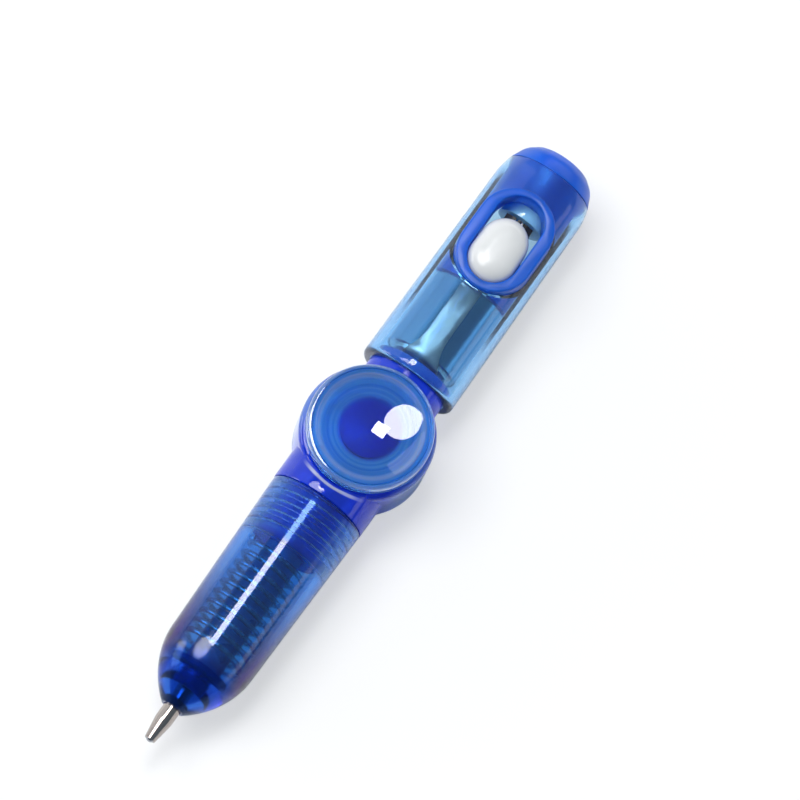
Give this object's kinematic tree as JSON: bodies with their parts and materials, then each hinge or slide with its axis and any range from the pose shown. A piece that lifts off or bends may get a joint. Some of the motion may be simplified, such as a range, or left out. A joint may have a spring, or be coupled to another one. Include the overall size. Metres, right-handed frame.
{
  "type": "fidget spinner pen",
  "caption": "Short ball pen with a slide-switch light, joined by a hub that spins between two dished finger pads.",
  "frame": {"origin": "middle of the pen's length, on the plane that the lower finger pad stands on", "axes": "+X along the pen towards the light end, +Z along the spin axis towards the switch button's side"},
  "size_m": [0.0536, 0.0102, 0.0091],
  "materials": {
    "hub_blue": "dark blue, polished",
    "pad_blue": "clear blue, polished",
    "nose_blue": "clear blue, polished",
    "barrel_blue": "clear sky blue, polished",
    "cap_blue": "dark blue, polished",
    "adapter_blue": "dark blue, plain",
    "ink": "dark blue ink",
    "tube_clear": "milky, clear",
    "button_white": "white, polished",
    "slider_black": "black, plain",
    "spring_steel": "bright drawn wire",
    "point_nickel": "nickel plated brass",
    "ball_carbide": "polished",
    "strip_silver": "plated spring steel",
    "cell_steel": "bright pressed can",
    "sleeve_film": "thin satin silver film",
    "diode_clear": "water clear",
    "lead_tin": "tinned"
  },
  "bodies": {
    "pen_body": {"hub_body": "hub_blue", "light_barrel": "barrel_blue", "end_cap": "cap_blue", "contact_strip": "strip_silver", "cell_1": "cell_steel", "cell_2": "cell_steel", "cell_3": "cell_steel", "cell_sleeve": "sleeve_film", "led_lens": "diode_clear", "led_spacer": "slider_black", "led_cathode": "lead_tin", "led_anode": "lead_tin"},
    "finger_pads": {"top_finger_pad": "pad_blue", "bottom_finger_pad": "pad_blue", "pad_axle": "hub_blue"},
    "switch": {"switch_button": "button_white", "switch_slider": "slider_black"},
    "refill": {"refill_tube": "tube_clear", "ink_column": "ink", "refill_adapter": "adapter_blue", "refill_tip": "point_nickel", "nose_spring": "spring_steel"},
    "nose": {"nose_barrel": "nose_blue"},
    "ball": {"writing_ball": "ball_carbide"}
  },
  "joints": [
    {"name": "pad_spin", "type": "hinge", "parent": "pen_body", "child": "finger_pads", "pos_m": [0.00076, 0, 0.00457], "axis": [0, 0, 1], "continuous": true},
    {"name": "switch_slide", "type": "slide", "parent": "pen_body", "child": "switch", "axis": [1, 0, 0], "range_m": [0, 0.00179]},
    {"name": "refill_travel", "type": "slide", "parent": "pen_body", "child": "refill", "axis": [-1, 0, 0], "range_m": [0, 0.0044]},
    {"name": "nose_screw", "type": "hinge", "parent": "refill", "child": "nose", "pos_m": [0.00076, 0, 0.00457], "axis": [-1, 0, 0], "range_deg": [0, 1800]},
    {"name": "ball_roll", "type": "hinge", "parent": "refill", "child": "ball", "pos_m": [-0.02645, 0, 0.00457], "axis": [0, 1, 0], "continuous": true}
  ],
  "couplings": [
    {"joint": "nose_screw", "follows": "refill_travel", "rad_per_m": 7140}
  ]
}
